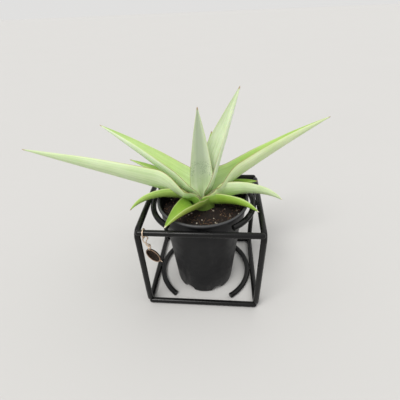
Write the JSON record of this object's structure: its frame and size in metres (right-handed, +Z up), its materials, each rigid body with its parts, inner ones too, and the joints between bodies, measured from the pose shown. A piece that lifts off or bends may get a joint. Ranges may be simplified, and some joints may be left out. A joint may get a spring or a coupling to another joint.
{
  "type": "potted snake plant",
  "caption": "Short-leaved silvery snake plant in a black nursery pot, held upright by a black wire cube stand with a small swinging charm on its front rail.",
  "frame": {"origin": "middle of the whole part's bounding box seen from above, at floor level", "axes": "+X to the right along the front rails, +Y away from the front, +Z up"},
  "size_m": [0.3136, 0.1308, 0.2082],
  "materials": {
    "wire": "black powder coat, semi-gloss",
    "pot": "black moulded plastic, matt with light scuffs",
    "soil": "moist dark potting mix with perlite and bark",
    "leaf": "waxy silvery green leaf with fine lengthwise lines",
    "copper": "copper-coloured polished wire",
    "bronze": "dark antiqued metal with a worn bright rim"
  },
  "bodies": {
    "stand": {"side_frame_left": "wire", "side_frame_right": "wire", "rail_front_top": "wire", "rail_front_bottom": "wire", "rail_back_top": "wire", "rail_back_bottom": "wire", "arc_top_left": "wire", "arc_bottom_left": "wire", "arc_top_right": "wire", "arc_bottom_right": "wire", "nursery_pot": "pot", "potting_mix": "soil", "leaf_01_front_left": "leaf", "leaf_02_front_right": "leaf", "leaf_03_low_left": "leaf", "leaf_04_right": "leaf", "leaf_05_back_left": "leaf", "leaf_06_back_right": "leaf", "leaf_07_long_left": "leaf", "leaf_08_long_right": "leaf", "leaf_09_high_left": "leaf", "leaf_10_back": "leaf", "leaf_11_high_right": "leaf", "leaf_12_centre": "leaf"},
    "charm": {"charm_ring": "copper", "charm_link": "copper", "charm_pendant": "bronze"}
  },
  "joints": [
    {"name": "charm_swing", "type": "hinge", "parent": "stand", "child": "charm", "pos_m": [-0.02945, -0.05898, 0.1009], "axis": [1, 0, 0], "range_deg": [-60, 45]}
  ]
}
